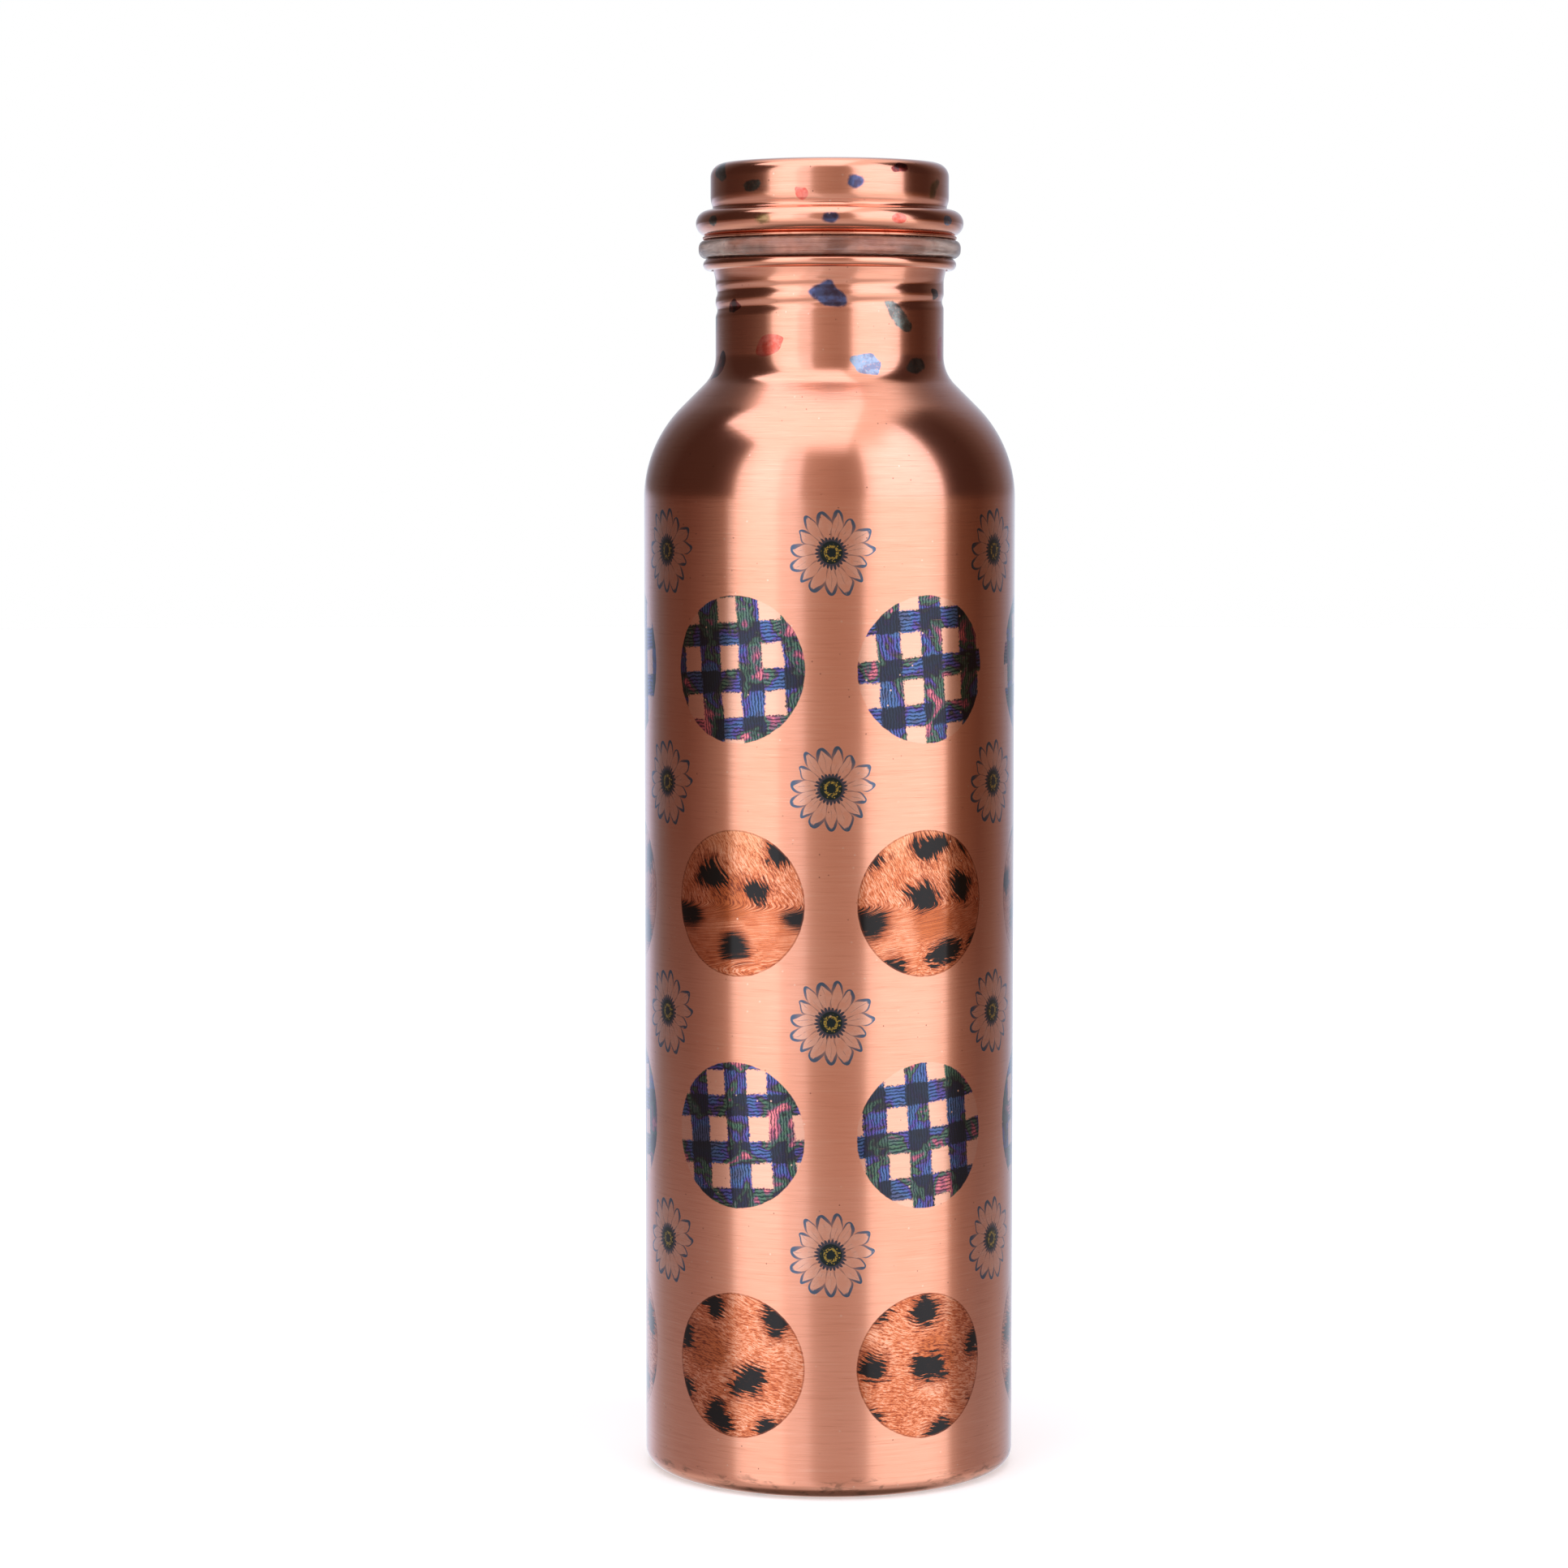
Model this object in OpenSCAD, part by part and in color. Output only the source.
// Seamless copper water bottle with a screw-in cap.
// The bottle is one drawn copper shell: base, barrel, shoulder, neck and curled
// lip. A helical thread is rolled into its neck. The cap is a drawn copper shell
// with a rolled bead, soldered to the flange of a drawn, threaded copper plug.
// A silicone ring sits round the plug's root and seals on the curled lip.
// Millimetres, +Z up, origin at the centre of the base, on the table.

/* [Barrel] */
// Outside diameter of the barrel
body_d = 75; // [74:0.5:78]
// Height at which the barrel ends and the shoulder begins
barrel_top = 197; // [150:1:230]
// Thickness of the copper sheet of the bottle
wall = 0.5; // [0.45:0.05:0.6]
// Outside radius of the corner round the base
base_corner = 3; // [2.5:0.5:4]
// Height of the dome that is pressed up into the base
base_dome = 2; // [1:0.5:3]
// Radius of the dome's edge, where the flat foot ring begins
dome_edge = 27; // [22:1:29]

/* [Shoulder] */
// Radius of the shoulder's convex curve
shoulder_r = 26; // [24:1:28]
// Radius of the concave curve into the neck
neck_fillet = 8; // [6:0.5:10]

/* [Neck] */
// Outside diameter of the neck
neck_d = 46; // [45:0.5:46.5]
// Height of the neck's straight part above its fillet
neck_straight = 15.1; // [14.5:0.1:17]
// Height over which the neck flares out to its lip
lip_flare = 3.25; // [3:0.05:3.5]
// Outside radius of the curl of sheet that makes the lip
lip_curl = 1.2; // [1.1:0.05:1.25]

/* [Thread] */
// Rise of the thread in one turn
pitch = 3.5; // [3.4:0.1:3.6]
// Turns of the neck's thread
neck_turns = 2; // [1.5:0.25:2.25]
// How far the neck's ridge stands into the mouth
ridge_in = 0.55; // [0.4:0.05:0.6]
// Depth of the groove that the rolling leaves on the outside
groove_out = 0.35; // [0.2:0.05:0.4]

/* [Cap] */
// Outside diameter of the cap's wall
cap_d = 48; // [47:0.5:49]
// Height of the cap from the bead's underside to its top
cap_h = 15.4; // [14.5:0.1:18]
// Radius of the cap's top corner
cap_corner = 2.5; // [2:0.5:3]
// Radius of the rolled bead round the cap's rim
bead_r = 2.6; // [2.4:0.1:2.7]
// Thickness of the copper sheet of the cap and its plug
cap_wall = 0.5; // [0.45:0.05:0.6]

/* [Plug] */
// Outside radius of the plug at the root of its thread
plug_r = 21.4; // [21.2:0.1:21.4]
// Depth of the plug below the underside of its flange
plug_depth = 17.4; // [17:0.2:18.4]
// Thickness of the plug's flange
flange_t = 0.7; // [0.6:0.1:0.8]
// How far the plug's ridge stands out of its root
plug_ridge = 0.85; // [0.75:0.05:0.85]

/* [Seal] */
// Thickness of the silicone ring
seal_t = 3.65; // [3.4:0.05:3.8]
// Outside diameter of the silicone ring
seal_d = 52.8; // [52:0.2:53.4]

/* [Hidden] */
$fn = 96;

body_r = body_d / 2;
neck_r = neck_d / 2;
cap_r = cap_d / 2;

// The shoulder's curve ends at 45 degrees, where a short cone takes over.
sh_x = body_r - shoulder_r;
k45 = sqrt(0.5);
// Where the 45 degree cone meets the neck's fillet.
cone_x0 = sh_x + shoulder_r * k45;
cone_z0 = barrel_top + shoulder_r * k45;
cone_x1 = neck_r + neck_fillet * (1 - k45);
cone_z1 = cone_z0 + cone_x0 - cone_x1;
fillet_z = cone_z1 + neck_fillet * k45;
flare_z = fillet_z + neck_straight;
curl_z = flare_z + lip_flare;
curl_x = neck_r + 0.6 + lip_curl - wall;
lip_top = curl_z + lip_curl;

// The ring lies 0.05 over the lip and 0.05 under the flange.
seal_z = lip_top + 0.05;
flange_z = seal_z + seal_t + 0.05;
cap_z = flange_z + flange_t;
cap_top = cap_z + cap_h;

// The dome of the base is a shallow part of a sphere.
dome_r = (dome_edge * dome_edge + base_dome * base_dome) / (2 * base_dome);

// The neck's thread starts this far under the flare.
thread_z0 = flare_z - 7.65;
steps = 48;

// A ridge swept along a right-hand helix. The section is a trapezium from radius
// r_root to r_crest, half as wide as w_root and w_crest, and it fades in and out
// over the first and last eighth of a turn.
module helix(r_root, r_crest, w_root, w_crest, z0, turns, lift) {
  n = round(turns * steps);
  fade = function(i) min(1, min(i, n - i) / (steps / 8));
  ring = function(i)
    let (a = 360 * i / steps, f = fade(i), z = z0 + lift * i / steps,
         c = r_root + (r_crest - r_root) * (0.12 + 0.88 * f))
    [for (p = [[r_root, -w_root / 2], [c, -w_crest / 2], [c, w_crest / 2], [r_root, w_root / 2]])
      [p[0] * cos(a), p[0] * sin(a), z + p[1]]];
  pts = [for (i = [0:n]) each ring(i)];
  out = r_crest > r_root;
  side = [for (i = [0:n - 1], j = [0:3])
    let (a = 4 * i + j, b = 4 * i + (j + 1) % 4, c = b + 4, d = a + 4)
    each (out ? [[a, b, c], [a, c, d]] : [[a, c, b], [a, d, c]])];
  e = 4 * n;
  ends = out ? [[0, 3, 2], [0, 2, 1], [e, e + 1, e + 2], [e, e + 2, e + 3]]
             : [[0, 2, 3], [0, 1, 2], [e, e + 2, e + 1], [e, e + 3, e + 2]];
  polyhedron(points = pts, faces = concat(side, ends), convexity = 6);
}

// The filled outline of the bottle, from the base to the top of the straight
// neck, set in by d from the outside. Its parts overlap inside their common edge.
module bottle_outline(d) {
  translate([0, d]) square([body_r - base_corner, base_corner - d]);
  intersection() {
    translate([body_r - base_corner, base_corner]) circle(base_corner - d);
    translate([body_r - base_corner, 0]) square([base_corner, base_corner]);
  }
  translate([0, base_corner]) square([body_r - d, barrel_top - base_corner]);
  intersection() {
    translate([sh_x, barrel_top]) circle(shoulder_r - d);
    translate([0, barrel_top - 0.5]) square([body_r, (shoulder_r - d) * k45 + 0.9]);
  }
  polygon([[0, cone_z0 - d * k45], [cone_x0 - d * k45, cone_z0 - d * k45],
    [cone_x1 - d * k45 - 0.4, cone_z1 - d * k45 + 0.4], [0, cone_z1 - d * k45 + 0.4]]);
  difference() {
    translate([0, cone_z1 - d * k45]) square([neck_r + neck_fillet, fillet_z - cone_z1 + d * k45]);
    translate([neck_r + neck_fillet, fillet_z]) circle(neck_fillet + d);
  }
  translate([0, fillet_z - 0.5]) square([neck_r - d, neck_straight + 0.5]);
}

// The sheet of the lip: a flared collar and an open curl.
module lip_section() {
  polygon([[neck_r - wall, flare_z - 0.3], [neck_r, flare_z - 0.3], [neck_r, flare_z],
    [curl_x - lip_curl + wall, curl_z], [curl_x - lip_curl + wall, curl_z + 0.2],
    [curl_x - lip_curl + 0.05, curl_z + 0.2], [curl_x - lip_curl, curl_z], [neck_r - wall, flare_z]]);
  translate([curl_x, curl_z]) difference() {
    circle(lip_curl);
    circle(lip_curl - wall);
    polygon([[0, 0], [-4, 0], [-4, -4], [-1.45, -4]]);
  }
}

// One drawn shell with a domed base and a curled lip, and a thread rolled into
// the neck: a ridge inside and a shallow groove outside.
module bottle_body() {
  color([0.80, 0.52, 0.40]) difference() {
    union() {
      rotate_extrude($fn = 180) union() {
        difference() {
          bottle_outline(0);
          difference() {
            bottle_outline(wall);
            translate([0, base_dome - dome_r]) circle(dome_r + wall, $fn = 720);
          }
          translate([0, base_dome - dome_r]) circle(dome_r, $fn = 720);
          translate([-10, -10]) square([10, 400]);
          translate([0, flare_z - 1]) square([neck_r - wall, 2]);
        }
        lip_section();
      }
      helix(neck_r - wall + 0.25, neck_r - wall - ridge_in, 2.2, 0.7, thread_z0, neck_turns, pitch);
    }
    helix(neck_r + 0.3, neck_r - groove_out, 2.6, 0.6, thread_z0, neck_turns, pitch);
  }
}

// The translucent silicone ring, rounded on its outside.
module sealing_ring() {
  edge = seal_t / 2;
  color([0.72, 0.66, 0.60]) rotate_extrude($fn = 120) union() {
    translate([plug_r + 0.1, seal_z]) square([seal_d / 2 - edge - plug_r - 0.1, seal_t]);
    translate([seal_d / 2 - edge, seal_z + edge]) circle(edge);
  }
}

// The threaded plug: a drawn cup, closed at the bottom, with a flange that is
// soldered to the cap's rim.
module cap_plug() {
  bottom = flange_z - plug_depth;
  c = 2;
  seat = thread_z0 - 1.3;
  color([0.74, 0.44, 0.32]) union() {
    rotate_extrude($fn = 144) difference() {
      union() {
        translate([0, bottom + c]) square([plug_r, plug_depth - c + flange_t]);
        translate([0, bottom]) square([plug_r - c, c]);
        translate([plug_r - c, bottom + c]) circle(c);
        translate([0, flange_z]) square([25.6, flange_t]);
      }
      translate([0, bottom + c]) square([plug_r - cap_wall, plug_depth + flange_t]);
      translate([0, bottom + cap_wall]) square([plug_r - c, c]);
      translate([plug_r - c, bottom + c]) circle(c - cap_wall);
      translate([-10, bottom - 1]) square([10, 40]);
    }
    helix(plug_r - 0.2, plug_r + plug_ridge, 1.8, 0.6, seat, neck_turns + 0.25, pitch);
  }
}

// The outline of the cap's cup, set in by d from the outside.
module cap_outline(d) {
  top = cap_top - 0.8;
  translate([0, cap_z + bead_r]) square([cap_r - d, top - cap_corner - cap_z - bead_r]);
  translate([0, cap_z + bead_r]) square([cap_r - cap_corner, top - cap_z - bead_r - d]);
  translate([cap_r - cap_corner, top - cap_corner]) circle(cap_corner - d);
  intersection() {
    translate([0, cap_top - 300]) circle(300 - d, $fn = 720);
    translate([0, top - 2]) square([cap_r - cap_corner, 4]);
  }
}

// The cap's cup and, round its rim, a hollow bead whose edge turns in under it.
module cap_shell() {
  bead_x = 26.95 - bead_r;
  bead_z = cap_z + bead_r;
  color([0.82, 0.54, 0.43]) rotate_extrude($fn = 144) union() {
    difference() {
      cap_outline(0);
      cap_outline(cap_wall);
      translate([-10, cap_z]) square([10, 40]);
      translate([bead_x, bead_z]) circle(bead_r - cap_wall);
    }
    difference() {
      translate([bead_x, bead_z]) circle(bead_r);
      translate([bead_x, bead_z]) circle(bead_r - cap_wall);
      translate([bead_x - 4, cap_z]) square([4, bead_r + 0.001]);
      translate([0, cap_z]) square([cap_r - cap_wall, 20]);
    }
    translate([plug_r + 0.6, cap_z]) square([bead_x - plug_r - 0.6, cap_wall]);
  }
}

bottle_body();
sealing_ring();
cap_plug();
cap_shell();
